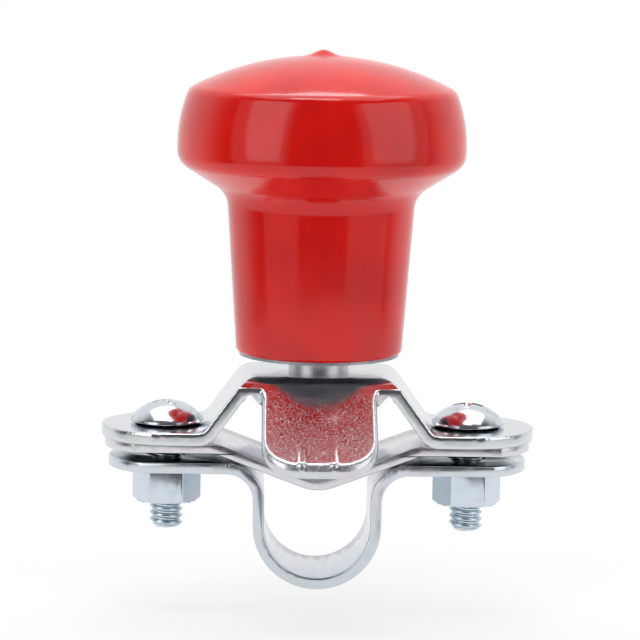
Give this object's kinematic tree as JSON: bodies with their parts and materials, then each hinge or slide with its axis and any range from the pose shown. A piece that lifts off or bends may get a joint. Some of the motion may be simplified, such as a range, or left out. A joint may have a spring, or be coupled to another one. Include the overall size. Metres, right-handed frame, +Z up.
{
  "type": "steering wheel spinner knob",
  "caption": "Mushroom-shaped red spinner knob on ball bearings, riveted to a pressed steel clamp that two screws draw onto a round steering wheel rim.",
  "frame": {"origin": "centre of the strap's round rim seat, on the axis of the wheel rim it clamps", "axes": "+Z up along the knob's spin axis, +Y along the wheel rim, +X along the clamp towards the right screw"},
  "size_m": [0.0804, 0.059, 0.0996],
  "materials": {
    "red_grip": "glossy",
    "zinc_plate": "bright zinc plating",
    "disc_steel": "dark",
    "bearing_steel": "polished",
    "turned_steel": "satin",
    "cage_nylon": "matte"
  },
  "bodies": {
    "bracket": {"top_bracket": "zinc_plate", "saddle_plate": "zinc_plate", "spindle": "turned_steel", "lower_bearing_inner_ring": "bearing_steel", "upper_bearing_inner_ring": "bearing_steel", "inner_spacer": "turned_steel", "spindle_washer": "turned_steel", "retaining_clip": "turned_steel"},
    "knob": {"knob_grip": "red_grip", "base_disc": "disc_steel", "lower_bearing_outer_ring": "bearing_steel", "upper_bearing_outer_ring": "bearing_steel", "outer_spacer": "turned_steel"},
    "lower_ball_set": {"lower_bearing_cage": "cage_nylon", "lower_bearing_balls": "bearing_steel"},
    "upper_ball_set": {"upper_bearing_cage": "cage_nylon", "upper_bearing_balls": "bearing_steel"},
    "left_screw": {"left_screw": "zinc_plate"},
    "right_screw": {"right_screw": "zinc_plate"},
    "strap": {"u_strap": "zinc_plate", "left_nut": "zinc_plate", "right_nut": "zinc_plate"}
  },
  "joints": [
    {"name": "knob_spin", "type": "hinge", "parent": "bracket", "child": "knob", "pos_m": [0, 0, 0.0475], "axis": [0, 0, 1], "continuous": true},
    {"name": "lower_ball_orbit", "type": "hinge", "parent": "bracket", "child": "lower_ball_set", "pos_m": [0, 0, 0.0365], "axis": [0, 0, 1], "continuous": true},
    {"name": "upper_ball_orbit", "type": "hinge", "parent": "bracket", "child": "upper_ball_set", "pos_m": [0, 0, 0.0585], "axis": [0, 0, 1], "continuous": true},
    {"name": "left_screw_turn", "type": "hinge", "parent": "bracket", "child": "left_screw", "pos_m": [-0.02807, 0, 0.01745], "axis": [0, 0, -1], "range_deg": [-1441, 58]},
    {"name": "right_screw_turn", "type": "hinge", "parent": "bracket", "child": "right_screw", "pos_m": [0.02807, 0, 0.01745], "axis": [0, 0, -1], "range_deg": [-1441, 58]},
    {"name": "strap_slide", "type": "slide", "parent": "bracket", "child": "strap", "axis": [0, 0, 1], "range_m": [-0.00508, 0.0002]}
  ],
  "couplings": [
    {"joint": "lower_ball_orbit", "follows": "knob_spin", "ratio": 0.63233},
    {"joint": "upper_ball_orbit", "follows": "knob_spin", "ratio": 0.63233},
    {"joint": "left_screw_turn", "follows": "strap_slide", "rad_per_m": 4947.4},
    {"joint": "right_screw_turn", "follows": "strap_slide", "rad_per_m": 4947.4}
  ]
}
